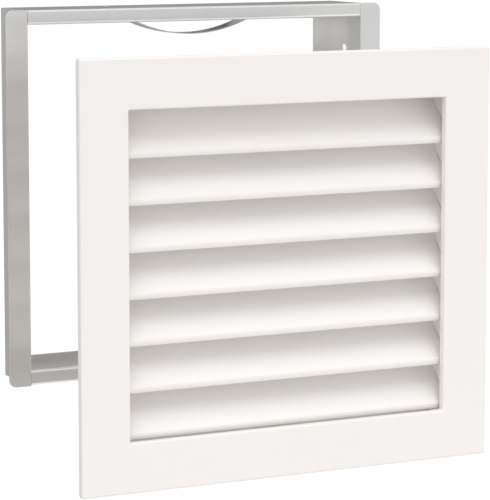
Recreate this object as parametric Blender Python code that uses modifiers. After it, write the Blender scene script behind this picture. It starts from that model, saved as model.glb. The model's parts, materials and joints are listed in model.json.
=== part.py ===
"""Louvred warm-air grille on a built-in mounting frame.

Axes: +X right, -Y the room side that the grille faces, +Z up.
The origin is the middle of the wall opening, in the plane of the wall: the back of the frame's ears.
The grille is modelled drawn out of its frame, below and in front of it, and slides back along one
straight line until its rim meets the ears.
Lengths are in metres.
"""

import math

import bmesh
import bpy
from mathutils import Vector

# ---------------------------------------------------------------- driving dimensions

# Fits
GAP = 0.0003  # between pieces that touch in the real object
HOLE_CLEARANCE = 0.0003  # around a rivet's shank
CUTTER = 0.006  # how far a cutter reaches, through any sheet

# Mounting frame
FRAME_SHEET = 0.001
FRAME_BEND = 0.0006  # inside radius of a bend
TONGUE_SPACE = 0.0014  # from the ends of the slats' tongues to the frame's side walls
COLLAR_SPACE = 0.0150  # from the collar out to the outer faces of the top and bottom walls
FRAME_DEPTH = 0.040  # top and bottom rails, front face to back face
EAR_WIDTH = 0.0138
EAR_FOOT = 0.0006  # how far the ears reach below the bottom wall
EAR_CORNER = 0.0045
EAR_BEND = 0.0002
FLANGE_HEIGHT = 0.0082
HEM_HEIGHT = 0.004
RAIL_RETURN = 0.0105  # height of the return behind a top or bottom rail
SIDE_RETURN = 0.0118  # width of the return behind a side rail
SCREW_HOLE_RADIUS = 0.0025
SCREW_HOLE_INSET = 0.0285  # from the top or bottom wall
CORNER_RIVET_INSET = 0.0055

# Leaf spring under the top wall
SPRING_SHEET = 0.0006
SPRING_WIDTH = 0.0124
SPRING_INSET = 0.0163  # from the frame's front face to the spring's middle
SPRING_RADIUS = 0.0908
SPRING_PRESS = 0.00135  # how far the seated collar presses the spring up
SPRING_FOOT = 0.0085
SPRING_SLOT = 0.0026  # extra length of the slot in the sliding foot

# Rivets
RIVET_RADIUS = 0.0015
RIVET_HEAD_RADIUS = 0.0024
RIVET_HEAD = 0.0008
FLAT_HEAD = 0.0003
HEAD_CROWN = 0.7  # share of a head's radius that is flat on top
HEAD_SHOULDER = 0.45  # share of a head's thickness that is straight at its rim

# Front panel
PANEL_SHEET = 0.001
PANEL_WIDTH = 0.260
PANEL_HEIGHT = 0.240
PANEL_RIM = 0.0047  # depth of the rim folded back all round
PANEL_BEND = 0.0013  # outside radius of the rim's bend
PANEL_CORNER = 0.0012
PANEL_INNER_CORNER = 0.0007
SIDE_BORDER = 0.0293  # from the panel's left or right edge to the opening
TOP_BORDER = 0.0284  # from the panel's top or bottom edge to the opening
OPENING_BEND = 0.0009

# Collar behind the opening
COLLAR_SHEET = 0.001
COLLAR_CLEARANCE = 0.0006  # above and below the opening's folded edge
COLLAR_FLANGE = 0.0098  # height of the top and bottom plates' front flange
CARRIER_SET_BACK = 0.0058  # from the opening's side to the carrier's inner face
CARRIER_FLANGE = 0.0065  # width of a carrier's front flange
CARRIER_END = 0.0095  # width of a carrier's end flanges
COLLAR_RIVET_DEPTH = 0.014
COLLAR_RIVET_INSET = 0.0057  # from the carrier's outer face

# Louvre slats
SLAT_COUNT = 7
SLAT_SHEET = 0.0008
SLAT_SET_BACK = 0.0013  # from the opening's folded edge to the slats' lips
SLAT_FOOT_GAP = 0.0007  # lowest slat's edge above the opening's lower edge
SLAT_TOP_GAP = 0.00085  # what the slats' pitches leave below the opening's upper edge
SLAT_STEP = 0.000735  # from the top of a blade up to the next slat's lower edge
SLAT_BACK_SPACE = 0.00025  # from the blades' rear edges to the collar's back
SLAT_LIP = 0.003
SLAT_BEND = 0.0018
SLAT_ANGLE = math.radians(50.0)  # from horizontal
TONGUE_WIDTH = 0.009
TONGUE_REACH = 0.0015  # past the carrier's outer face
TONGUE_PLACE = 0.5  # share of the blade's length

# Where the grille is drawn out to
DRAWN_OUT = 0.1099
DRAWN_DOWN = 0.03166

BEND_STEPS = 4
ROUND_STEPS = 16
SPRING_STEPS = 22
MITRE_LIMIT = 0.2
SHARP = math.radians(30.0)
FLAT = math.radians(1.0)

# ---------------------------------------------------------------- sizes that follow

OPENING_SIDE = PANEL_WIDTH / 2 - SIDE_BORDER
OPENING_TOP = PANEL_HEIGHT / 2 - TOP_BORDER
CARRIER_FACE = OPENING_SIDE + CARRIER_SET_BACK
CARRIER_BACK = CARRIER_FACE + COLLAR_SHEET
COLLAR_FRONT = PANEL_SHEET + GAP
COLLAR_INNER = OPENING_TOP + PANEL_SHEET + COLLAR_CLEARANCE
COLLAR_OUTER = COLLAR_INNER + COLLAR_SHEET
CARRIER_TOP = COLLAR_INNER - GAP

SLAT_PITCH = (2 * OPENING_TOP - SLAT_FOOT_GAP - SLAT_TOP_GAP) / SLAT_COUNT
SLAT_BLADE = (SLAT_PITCH - SLAT_LIP - SLAT_STEP) / math.sin(SLAT_ANGLE)
SLAT_FACE = PANEL_RIM + SLAT_SET_BACK
SLAT_MIDDLE = SLAT_FACE + SLAT_SHEET / 2
SLAT_REACH = SLAT_BLADE * math.cos(SLAT_ANGLE) + SLAT_SHEET / 2 * math.sin(SLAT_ANGLE)
LOWEST_SLAT = -OPENING_TOP + SLAT_FOOT_GAP
SLAT_LENGTH = 2 * (CARRIER_FACE - GAP)
COLLAR_DEPTH = SLAT_MIDDLE + SLAT_REACH + SLAT_BACK_SPACE  # from the panel's front face

EAR_FRONT = -FRAME_SHEET
SIDE_DEPTH = FRAME_DEPTH - FRAME_SHEET - GAP
FRAME_HEIGHT = 2 * (COLLAR_OUTER + COLLAR_SPACE)
FRAME_TOP = FRAME_HEIGHT / 2 + EAR_FOOT / 2
FRAME_BOTTOM = FRAME_TOP - FRAME_HEIGHT
EAR_BOTTOM = FRAME_BOTTOM - EAR_FOOT
SIDE_FACE = CARRIER_BACK + TONGUE_REACH + TONGUE_SPACE
RAIL_LENGTH = 2 * (SIDE_FACE - GAP)
FRAME_MIDDLE_DEPTH = EAR_FRONT + FRAME_DEPTH / 2
SPRING_MIDDLE = EAR_FRONT + SPRING_INSET
SPRING_FOOT_HEIGHT = FRAME_TOP - FRAME_SHEET - GAP - SPRING_SHEET / 2
SPRING_SAG = SPRING_FOOT_HEIGHT - COLLAR_OUTER + SPRING_PRESS - SPRING_SHEET / 2

SEATED_FRONT = EAR_FRONT - GAP - PANEL_RIM
DRAWN_FRONT = SEATED_FRONT - DRAWN_OUT

# Turns for an outline drawn in X and Y and extruded along Z
ALONG_X = (math.pi / 2, 0.0, math.pi / 2)
ALONG_Y = (math.pi / 2, 0.0, 0.0)
ALONG_Z = (0.0, 0.0, 0.0)
FACING_X = (0.0, math.pi / 2, 0.0)
FACING_Y = (-math.pi / 2, 0.0, 0.0)


# ---------------------------------------------------------------- scene and materials


def clear_scene():
    for item in list(bpy.data.objects):
        bpy.data.objects.remove(item, do_unlink=True)


def new_collection(name):
    collection = bpy.data.collections.new(name)
    bpy.context.scene.collection.children.link(collection)
    return collection


def new_material(name, colour, roughness, metallic):
    material = bpy.data.materials.new(name)
    material.use_nodes = True
    shader = material.node_tree.nodes["Principled BSDF"]
    shader.inputs["Base Color"].default_value = (*colour, 1.0)
    shader.inputs["Roughness"].default_value = roughness
    shader.inputs["Metallic"].default_value = metallic
    material.diffuse_color = (*colour, 1.0)
    return material


def new_empty(name, location):
    empty = bpy.data.objects.new(name, None)
    PARTS.objects.link(empty)
    empty.location = location
    return empty


# ---------------------------------------------------------------- outlines


def arc(centre, radius, start, end, steps=BEND_STEPS):
    """Points of an arc about centre, from start to end, in degrees."""
    points = []
    for step in range(steps + 1):
        angle = math.radians(start + (end - start) * step / steps)
        points.append((centre[0] + radius * math.cos(angle), centre[1] + radius * math.sin(angle)))
    return points


def rectangle(low_x, low_y, high_x, high_y):
    return [(low_x, low_y), (high_x, low_y), (high_x, high_y), (low_x, high_y)]


def rounded_rectangle(half_width, half_height, radius):
    across = half_width - radius
    up = half_height - radius
    points = arc((across, -up), radius, -90, 0)
    points += arc((across, up), radius, 0, 90)
    points += arc((-across, up), radius, 90, 180)
    points += arc((-across, -up), radius, 180, 270)
    return points


def rounded_path(points, radii):
    """The open path through points, with an arc at each inner corner, of that corner's radius."""
    path = [Vector(points[0])]
    for before, corner, after, radius in zip(points, points[1:], points[2:], radii):
        corner = Vector(corner)
        back = (Vector(before) - corner).normalized()
        ahead = (Vector(after) - corner).normalized()
        half = back.angle(ahead) / 2
        centre = corner + (back + ahead).normalized() * (radius / math.sin(half))
        start = corner + back * (radius / math.tan(half)) - centre
        end = corner + ahead * (radius / math.tan(half)) - centre
        turn = math.atan2(start.x * end.y - start.y * end.x, start.dot(end))
        for step in range(BEND_STEPS + 1):
            angle = turn * step / BEND_STEPS
            path.append(centre + Vector((
                start.x * math.cos(angle) - start.y * math.sin(angle),
                start.x * math.sin(angle) + start.y * math.cos(angle),
            )))
    path.append(Vector(points[-1]))
    return path


def strip_outline(path, thickness):
    """The closed outline of a strip of sheet whose middle runs along path."""
    left = []
    right = []
    for index, point in enumerate(path):
        into = (point - path[max(index - 1, 0)]).normalized()
        out = (path[min(index + 1, len(path) - 1)] - point).normalized()
        if index == 0:
            into = out
        if index == len(path) - 1:
            out = into
        along = (into + out).normalized()
        side = Vector((-along.y, along.x)) * (thickness / 2 / max(along.dot(into), MITRE_LIMIT))
        left.append(point + side)
        right.append(point - side)
    return [(point.x, point.y) for point in left + right[::-1]]


# ---------------------------------------------------------------- solids


def mesh_from_curve(curve_object):
    """A welded mesh object with the curve's shape; the curve is removed."""
    name = curve_object.name
    collection = curve_object.users_collection[0]
    evaluated = curve_object.evaluated_get(bpy.context.evaluated_depsgraph_get())
    mesh = bpy.data.meshes.new_from_object(evaluated)
    bpy.data.objects.remove(curve_object, do_unlink=True)
    shape = bmesh.new()
    shape.from_mesh(mesh)
    bmesh.ops.remove_doubles(shape, verts=shape.verts, dist=1e-7)
    bmesh.ops.recalc_face_normals(shape, faces=shape.faces)
    shape.to_mesh(mesh)
    shape.free()
    mesh.name = name
    solid = bpy.data.objects.new(name, mesh)
    collection.objects.link(solid)
    return solid


def prism(name, outlines, length, turn=ALONG_Z, place=(0, 0, 0), collection=None):
    """Closed outlines, the later ones holes, extruded by length about their own plane."""
    curve = bpy.data.curves.new(name, "CURVE")
    curve.dimensions = "2D"
    curve.fill_mode = "BOTH"
    curve.extrude = length / 2
    for outline in outlines:
        spline = curve.splines.new("POLY")
        spline.points.add(len(outline) - 1)
        for point, (x, y) in zip(spline.points, outline):
            point.co = (x, y, 0, 1)
        spline.use_cyclic_u = True
    curve_object = bpy.data.objects.new(name, curve)
    (collection or PARTS).objects.link(curve_object)
    solid = mesh_from_curve(curve_object)
    solid.rotation_euler = turn
    solid.location = place
    return solid


def block(name, low, high, collection=None):
    """A box between two corners, with its origin in its middle."""
    shape = bmesh.new()
    bmesh.ops.create_cube(shape, size=1.0)
    size = Vector(high) - Vector(low)
    bmesh.ops.scale(shape, vec=size, verts=shape.verts)
    mesh = bpy.data.meshes.new(name)
    shape.to_mesh(mesh)
    shape.free()
    solid = bpy.data.objects.new(name, mesh)
    (collection or PARTS).objects.link(solid)
    solid.location = (Vector(low) + Vector(high)) / 2
    return solid


def drill(name, radius, length, place, turn):
    """A round cutter along its own Z axis."""
    shape = bmesh.new()
    bmesh.ops.create_cone(shape, cap_ends=True, segments=ROUND_STEPS, radius1=radius,
                          radius2=radius, depth=length)
    mesh = bpy.data.meshes.new(name)
    shape.to_mesh(mesh)
    shape.free()
    cutter = bpy.data.objects.new(name, mesh)
    CUTTERS.objects.link(cutter)
    cutter.location = place
    cutter.rotation_euler = turn
    return cutter


def combine(solid, tool, operation="DIFFERENCE"):
    """Cut tool out of solid, or join it on; both keep the same parent."""
    tool.parent = solid.parent
    tool.hide_render = True
    tool.display_type = "WIRE"
    if tool.name not in CUTTERS.objects:
        for collection in tool.users_collection:
            collection.objects.unlink(tool)
        CUTTERS.objects.link(tool)
    modifier = solid.modifiers.new(tool.name, "BOOLEAN")
    modifier.operation = operation
    modifier.solver = "EXACT"
    modifier.object = tool


def finish(solid, material, parent):
    solid.data.materials.clear()
    solid.data.materials.append(material)
    solid.parent = parent
    for modifier in solid.modifiers:
        if modifier.type == "BOOLEAN":
            modifier.object.parent = parent
    return solid


def rivet(name, grip, place, turn, head=RIVET_HEAD):
    """A rivet along its own Z axis: place is the middle of the sheets it holds.

    grip is the thickness of the sheets. head is the thickness of the upper head.
    """
    top = grip / 2 + GAP
    profile = [(0.0, top + head)]
    crown = RIVET_HEAD_RADIUS * HEAD_CROWN
    profile += [(crown, top + head), (RIVET_HEAD_RADIUS, top + head * HEAD_SHOULDER)]
    profile += [(RIVET_HEAD_RADIUS, top), (RIVET_RADIUS, top)]
    profile += [(RIVET_RADIUS, -top), (RIVET_HEAD_RADIUS, -top)]
    profile += [(RIVET_HEAD_RADIUS, -top - RIVET_HEAD * HEAD_SHOULDER)]
    profile += [(crown, -top - RIVET_HEAD), (0.0, -top - RIVET_HEAD)]
    mesh = bpy.data.meshes.new(name)
    edges = [(index, index + 1) for index in range(len(profile) - 1)]
    mesh.from_pydata([(x, 0.0, z) for x, z in profile], edges, [])
    solid = bpy.data.objects.new(name, mesh)
    PARTS.objects.link(solid)
    turned = solid.modifiers.new("turned", "SCREW")
    turned.steps = ROUND_STEPS
    turned.render_steps = ROUND_STEPS
    turned.use_merge_vertices = True
    turned.merge_threshold = 1e-6
    solid.location = place
    solid.rotation_euler = turn
    return finish(solid, RIVET_METAL, None)


# ---------------------------------------------------------------- mounting frame


def rail_outline(inward):
    """Section of a top or bottom rail: x is depth behind the front face, y runs inward from the wall.

    inward is 1 or -1 and sets which way y runs. The front flange ends in a closed hem.
    """
    outer = FRAME_BEND + FRAME_SHEET
    depth = FRAME_DEPTH
    sheet = FRAME_SHEET
    points = arc((outer, outer), outer, 180, 270)
    points += arc((depth - outer, outer), outer, 270, 360)
    points += [(depth, RAIL_RETURN), (depth - sheet, RAIL_RETURN)]
    points += arc((depth - outer, outer), FRAME_BEND, 0, -90)
    points += arc((outer, outer), FRAME_BEND, 270, 180)
    points += [(sheet, FLANGE_HEIGHT - HEM_HEIGHT), (2 * sheet, FLANGE_HEIGHT - HEM_HEIGHT)]
    points += arc((sheet, FLANGE_HEIGHT - sheet), sheet, 0, 180, 2 * BEND_STEPS)
    return [(x, y * inward) for x, y in points]


def rail(name, outer_face, inward):
    """A top or bottom rail between the side walls, riveted to their returns at the back."""
    solid = prism(name, [rail_outline(inward)], RAIL_LENGTH, ALONG_X, (0, EAR_FRONT, outer_face))
    for side in (-1, 1):
        hole = drill(f"{name}_rivet_hole_{side_name(side)}", RIVET_RADIUS + HOLE_CLEARANCE,
                     CUTTER, corner_rivet_place(side, outer_face, inward), FACING_Y)
        combine(solid, hole)
    return solid


def side_name(side):
    return "left" if side < 0 else "right"


def corner_rivet_place(side, outer_face, inward):
    """Middle of the two returns that overlap at one back corner of the frame."""
    depth = EAR_FRONT + FRAME_DEPTH - FRAME_SHEET - GAP / 2
    return (side * (SIDE_FACE - CORNER_RIVET_INSET), depth,
            outer_face + inward * CORNER_RIVET_INSET)


def frame_top(parent):
    solid = rail("frame_top", FRAME_TOP, -1)
    for side in (-1, 1):
        hole = drill(f"frame_top_spring_hole_{side_name(side)}", RIVET_RADIUS + HOLE_CLEARANCE,
                     CUTTER, (side * spring_rivet_across(), SPRING_MIDDLE, FRAME_TOP), ALONG_Z)
        combine(solid, hole)
    finish(solid, GALVANISED, parent)


def frame_bottom(parent):
    finish(rail("frame_bottom", FRAME_BOTTOM, 1), GALVANISED, parent)


def frame_side(side, parent):
    """A side rail: ear in front, wall, and a return at the back."""
    name = f"frame_side_{side_name(side)}"
    half = FRAME_SHEET / 2
    path = rounded_path([
        (side * (SIDE_FACE + EAR_WIDTH), EAR_FRONT + half),
        (side * (SIDE_FACE + half), EAR_FRONT + half),
        (side * (SIDE_FACE + half), EAR_FRONT + SIDE_DEPTH - half),
        (side * (SIDE_FACE - SIDE_RETURN), EAR_FRONT + SIDE_DEPTH - half),
    ], (EAR_BEND + half, FRAME_BEND + half))
    height = FRAME_TOP - EAR_BOTTOM
    middle = (FRAME_TOP + EAR_BOTTOM) / 2
    solid = prism(name, [strip_outline(path, FRAME_SHEET)], height, ALONG_Z, (0, 0, middle))

    # The wall stops short of the ear at the foot, and the return clears the rails' walls.
    past = SIDE_FACE + FRAME_SHEET + CUTTER
    before = SIDE_FACE - SIDE_RETURN - CUTTER
    back = EAR_FRONT + FRAME_DEPTH
    behind_ear = EAR_FRONT + FRAME_SHEET + GAP
    low_x, high_x = sorted((side * before, side * past))
    foot = block(f"{name}_foot_cut", (low_x, behind_ear, EAR_BOTTOM - CUTTER),
                 (high_x, back, FRAME_BOTTOM), CUTTERS)
    combine(solid, foot)
    inner_x = side * (SIDE_FACE - GAP)
    low_x, high_x = sorted((side * before, inner_x))
    for label, face, inward in (("top", FRAME_TOP, -1), ("bottom", FRAME_BOTTOM, 1)):
        inside = face + inward * (FRAME_SHEET + FRAME_BEND + GAP)
        low_z, high_z = sorted((inside, face - inward * CUTTER))
        cut = block(f"{name}_return_cut_{label}", (low_x, behind_ear, low_z),
                    (high_x, back, high_z), CUTTERS)
        combine(solid, cut)
        place = corner_rivet_place(side, face, inward)
        hole = drill(f"{name}_rivet_hole_{label}", RIVET_RADIUS + HOLE_CLEARANCE, CUTTER, place,
                     FACING_Y)
        combine(solid, hole)
        screw_place = (side * SIDE_FACE, FRAME_MIDDLE_DEPTH, face + inward * SCREW_HOLE_INSET)
        screw = drill(f"{name}_screw_hole_{label}", SCREW_HOLE_RADIUS, CUTTER, screw_place,
                      FACING_X)
        combine(solid, screw)

    # Rounded outer corners of the ear
    tip = SIDE_FACE + EAR_WIDTH
    for label, edge, inward in (("top", FRAME_TOP, -1), ("bottom", EAR_BOTTOM, 1)):
        corner = [(tip, 0.0), (tip + EAR_CORNER, 0.0), (tip + EAR_CORNER, -EAR_CORNER)]
        corner += [(tip - EAR_CORNER, -EAR_CORNER)]
        corner += arc((tip - EAR_CORNER, EAR_CORNER), EAR_CORNER, -90, 0, 2 * BEND_STEPS)
        corner = [(side * x, edge + inward * y) for x, y in corner if (x, y) != (tip, 0.0)]
        cutter = prism(f"{name}_corner_cut_{label}", [corner], CUTTER, ALONG_Y,
                       (0, EAR_FRONT, 0), CUTTERS)
        combine(solid, cutter)
    finish(solid, GALVANISED, parent)


def corner_rivets(parent):
    for label, face, inward in (("top", FRAME_TOP, -1), ("bottom", FRAME_BOTTOM, 1)):
        for side in (-1, 1):
            pin = rivet(f"corner_rivet_{label}_{side_name(side)}", 2 * FRAME_SHEET + GAP,
                        corner_rivet_place(side, face, inward), FACING_Y)
            pin.parent = parent


# ---------------------------------------------------------------- leaf spring


def spring_half_chord():
    return math.sqrt(2 * SPRING_RADIUS * SPRING_SAG - SPRING_SAG**2)


def spring_rivet_across():
    return spring_half_chord() + SPRING_FOOT / 2


def leaf_spring(parent):
    chord = spring_half_chord()
    foot = SPRING_FOOT_HEIGHT
    centre = foot - SPRING_SAG + SPRING_RADIUS
    path = [Vector((-chord - SPRING_FOOT, foot))]
    reach = math.asin(chord / SPRING_RADIUS)
    for step in range(SPRING_STEPS + 1):
        angle = reach * (2 * step / SPRING_STEPS - 1)
        path.append(Vector((SPRING_RADIUS * math.sin(angle), centre - SPRING_RADIUS * math.cos(angle))))
    path.append(Vector((chord + SPRING_FOOT, foot)))
    solid = prism("leaf_spring", [strip_outline(path, SPRING_SHEET)], SPRING_WIDTH, ALONG_Y,
                  (0, SPRING_MIDDLE, 0))
    radius = RIVET_RADIUS + HOLE_CLEARANCE
    across = spring_rivet_across()
    round_hole = drill("spring_round_hole", radius, CUTTER, (-across, SPRING_MIDDLE, foot), ALONG_Z)
    combine(solid, round_hole)
    slot = arc((across + SPRING_SLOT / 2, 0), radius, -90, 90)
    slot += arc((across - SPRING_SLOT / 2, 0), radius, 90, 270)
    slot_cutter = prism("spring_slot", [slot], CUTTER, ALONG_Z, (0, SPRING_MIDDLE, foot), CUTTERS)
    combine(solid, slot_cutter)
    finish(solid, SPRING_STEEL, parent)


def spring_rivets(parent):
    grip = FRAME_SHEET + GAP + SPRING_SHEET
    for side in (-1, 1):
        place = (side * spring_rivet_across(), SPRING_MIDDLE, FRAME_TOP - grip / 2)
        pin = rivet(f"spring_rivet_{side_name(side)}", grip, place, ALONG_Z, FLAT_HEAD)
        pin.parent = parent


# ---------------------------------------------------------------- grille
# Here Y is depth behind the panel's front face and Z is height over the panel's middle.


def front_panel(parent):
    """One sheet: a flat border, a rim folded back all round, and a folded edge at the opening."""
    outline = rounded_rectangle(PANEL_WIDTH / 2, PANEL_HEIGHT / 2, PANEL_CORNER)
    hole = rounded_rectangle(OPENING_SIDE, OPENING_TOP, OPENING_BEND)
    solid = prism("front_panel", [outline, hole], PANEL_RIM, ALONG_Y, (0, PANEL_RIM / 2, 0))

    # Round the front edges, the wider outer ones and the finer ones at the opening.
    shape = bmesh.new()
    shape.from_mesh(solid.data)
    bmesh.ops.dissolve_limit(shape, angle_limit=FLAT, verts=shape.verts, edges=shape.edges)
    front = PANEL_RIM / 2  # the outline's +Z turns to face -Y
    for bend, outside in ((PANEL_BEND, True), (OPENING_BEND, False)):
        edges = []
        for edge in shape.edges:
            if not all(abs(vert.co.z - front) < 1e-6 for vert in edge.verts):
                continue
            is_outside = any(abs(vert.co.x) > OPENING_SIDE + PANEL_SHEET
                             or abs(vert.co.y) > OPENING_TOP + PANEL_SHEET for vert in edge.verts)
            if is_outside == outside and len(edge.link_faces) == 2:
                if edge.calc_face_angle(0.0) > SHARP:
                    edges.append(edge)
        bmesh.ops.bevel(shape, geom=edges, offset=bend, segments=BEND_STEPS, profile=0.5,
                        affect="EDGES")
    shape.to_mesh(solid.data)
    shape.free()

    # Hollow between the rim and the folded edge, from behind
    inner = rounded_rectangle(PANEL_WIDTH / 2 - PANEL_SHEET, PANEL_HEIGHT / 2 - PANEL_SHEET,
                              PANEL_INNER_CORNER)
    core = rounded_rectangle(OPENING_SIDE + PANEL_SHEET, OPENING_TOP + PANEL_SHEET,
                             OPENING_BEND + PANEL_SHEET)
    hollow = prism("front_panel_hollow", [inner, core], PANEL_RIM, ALONG_Y,
                   (0, PANEL_SHEET + PANEL_RIM / 2, 0), CUTTERS)
    combine(solid, hollow)
    finish(solid, WHITE_COAT, parent)


def slat_path():
    """Middle line of a slat's sheet: depth, and height over the slat's lower edge."""
    tip = (SLAT_MIDDLE + SLAT_BLADE * math.cos(SLAT_ANGLE),
           SLAT_LIP + SLAT_BLADE * math.sin(SLAT_ANGLE))
    return rounded_path([(SLAT_MIDDLE, 0.0), (SLAT_MIDDLE, SLAT_LIP), tip], (SLAT_BEND,))


def tongue_middle():
    along = SLAT_BLADE * TONGUE_PLACE
    return (SLAT_MIDDLE + along * math.cos(SLAT_ANGLE), SLAT_LIP + along * math.sin(SLAT_ANGLE))


def tongue_outline(grow=0.0):
    """Section of a slat's end tongue, in the blade's plane, wider all round by grow."""
    depth, height = tongue_middle()
    half_width = TONGUE_WIDTH / 2 + grow
    half_sheet = SLAT_SHEET / 2 + grow
    corners = rectangle(-half_width, -half_sheet, half_width, half_sheet)
    cosine, sine = math.cos(SLAT_ANGLE), math.sin(SLAT_ANGLE)
    return [(depth + x * cosine - y * sine, height + x * sine + y * cosine) for x, y in corners]


def slat_height(number):
    """Lower edge of a slat; slat 1 is the top one."""
    return LOWEST_SLAT + (SLAT_COUNT - number) * SLAT_PITCH


def slats(parent):
    reach = 2 * (CARRIER_BACK + TONGUE_REACH)
    for number in range(1, SLAT_COUNT + 1):
        place = (0, 0, slat_height(number))
        solid = prism(f"slat_{number}", [strip_outline(slat_path(), SLAT_SHEET)], SLAT_LENGTH,
                      ALONG_X, place)
        tongues = prism(f"slat_{number}_tongues", [tongue_outline()], reach, ALONG_X, place, CUTTERS)
        combine(solid, tongues, "UNION")
        finish(solid, WHITE_COAT, parent)


def slat_carrier(side, parent):
    """A side of the collar: a slotted plate, with a front flange turned out and end flanges turned in."""
    name = f"slat_carrier_{side_name(side)}"
    half = COLLAR_SHEET / 2
    path = rounded_path([
        (side * (CARRIER_BACK + CARRIER_FLANGE), COLLAR_FRONT + half),
        (side * (CARRIER_FACE + half), COLLAR_FRONT + half),
        (side * (CARRIER_FACE + half), COLLAR_DEPTH),
    ], (FRAME_BEND + half,))
    solid = prism(name, [strip_outline(path, COLLAR_SHEET)], 2 * CARRIER_TOP, ALONG_Z)
    low_x, high_x = sorted((side * (CARRIER_BACK - CARRIER_END), side * (CARRIER_FACE + half)))
    for label, up in (("top", 1), ("bottom", -1)):
        low_z, high_z = sorted((up * (CARRIER_TOP - COLLAR_SHEET), up * CARRIER_TOP))
        end = block(f"{name}_end_{label}", (low_x, PANEL_RIM + GAP, low_z),
                    (high_x, COLLAR_DEPTH, high_z), CUTTERS)
        combine(solid, end, "UNION")
    for number in range(1, SLAT_COUNT + 1):
        slot = prism(f"{name}_slot_{number}", [tongue_outline(GAP)], CUTTER, ALONG_X,
                     (side * CARRIER_FACE, 0, slat_height(number)), CUTTERS)
        combine(solid, slot)
    for label, up in (("top", 1), ("bottom", -1)):
        hole = drill(f"{name}_rivet_hole_{label}", RIVET_RADIUS + HOLE_CLEARANCE, CUTTER,
                     collar_rivet_place(side, up), ALONG_Z)
        combine(solid, hole)
    finish(solid, WHITE_COAT, parent)


def collar_rivet_place(side, up):
    across = CARRIER_BACK - COLLAR_RIVET_INSET
    return (side * across, COLLAR_RIVET_DEPTH, up * (COLLAR_INNER - GAP / 2))


def collar_plate(label, up, parent):
    """The top or bottom of the collar, with a flange that lies behind the panel's border."""
    name = f"collar_{label}"
    half = COLLAR_SHEET / 2
    path = rounded_path([
        (COLLAR_DEPTH, up * (COLLAR_INNER + half)),
        (COLLAR_FRONT + half, up * (COLLAR_INNER + half)),
        (COLLAR_FRONT + half, up * (COLLAR_INNER + COLLAR_FLANGE)),
    ], (FRAME_BEND + half,))
    solid = prism(name, [strip_outline(path, COLLAR_SHEET)], 2 * CARRIER_BACK, ALONG_X)
    for side in (-1, 1):
        hole = drill(f"{name}_rivet_hole_{side_name(side)}", RIVET_RADIUS + HOLE_CLEARANCE, CUTTER,
                     collar_rivet_place(side, up), ALONG_Z)
        combine(solid, hole)
    finish(solid, WHITE_COAT, parent)


def collar_rivets(parent):
    for label, up in (("top", 1), ("bottom", -1)):
        for side in (-1, 1):
            pin = rivet(f"collar_rivet_{label}_{side_name(side)}", 2 * COLLAR_SHEET + GAP,
                        collar_rivet_place(side, up), ALONG_Z)
            pin.parent = parent


# ---------------------------------------------------------------- build

clear_scene()
PARTS = new_collection("louvred_air_grille")
CUTTERS = new_collection("cutters")

WHITE_COAT = new_material("white_coat", (0.86, 0.84, 0.82), 0.42, 0.0)
GALVANISED = new_material("galvanised_sheet", (0.60, 0.60, 0.59), 0.40, 0.9)
SPRING_STEEL = new_material("spring_steel", (0.50, 0.50, 0.51), 0.25, 1.0)
RIVET_METAL = new_material("rivet_aluminium", (0.68, 0.68, 0.69), 0.35, 1.0)

frame_origin = new_empty("mounting_frame", (0, 0, 0))
grille_origin = new_empty("grille_slide", (0, DRAWN_FRONT, -DRAWN_DOWN))

frame_side(-1, frame_origin)
frame_side(1, frame_origin)
frame_top(frame_origin)
frame_bottom(frame_origin)
corner_rivets(frame_origin)
leaf_spring(frame_origin)
spring_rivets(frame_origin)

front_panel(grille_origin)
slat_carrier(-1, grille_origin)
slat_carrier(1, grille_origin)
collar_plate("top", 1, grille_origin)
collar_plate("bottom", -1, grille_origin)
collar_rivets(grille_origin)
slats(grille_origin)
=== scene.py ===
"""Looks of the louvred air grille: fine sheet-metal pieces, their finishes and a plain studio.

Lengths are in metres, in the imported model's own axes: +X right, -Y the room side, +Z up.
Every piece takes its place from its CAD node's box, rides on that node's body and stands for it.
"""

import json
import math

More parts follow.
